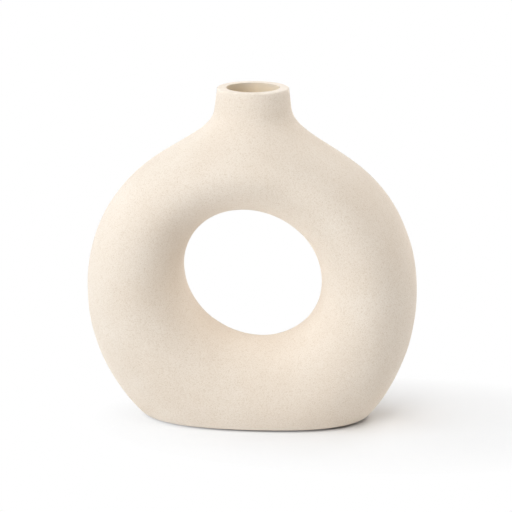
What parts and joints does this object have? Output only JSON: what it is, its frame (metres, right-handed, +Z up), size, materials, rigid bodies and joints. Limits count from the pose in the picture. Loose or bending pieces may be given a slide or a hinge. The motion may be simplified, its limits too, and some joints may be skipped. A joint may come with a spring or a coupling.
{
  "type": "ceramic vase",
  "caption": "Ring-shaped stoneware vase with an oval hole through its hollow body, a short round neck and a flat foot on thin pads, for holding stems.",
  "frame": {"origin": "middle of the bounding box on the standing plane, under the pads", "axes": "+Z up through the neck, +X to the right seen from the front, +Y away from the front, through the hole"},
  "size_m": [0.2066, 0.087, 0.21],
  "materials": {
    "stoneware": "unglazed, fine sandy grain, matt",
    "joint_slip": "smoothed slip, unglazed, matt",
    "pad_rubber": "matt moulded rubber"
  },
  "bodies": {
    "root": {"front_shell": "stoneware", "rear_shell": "stoneware", "neck_collar": "stoneware", "foot_slab": "stoneware", "left_seam_slip": "joint_slip", "right_seam_slip": "joint_slip", "hole_seam_slip": "joint_slip", "neck_joint_slip": "joint_slip", "foot_joint_slip": "joint_slip", "pad_front_left": "pad_rubber", "pad_front_right": "pad_rubber", "pad_rear_left": "pad_rubber", "pad_rear_right": "pad_rubber"}
  },
  "joints": []
}
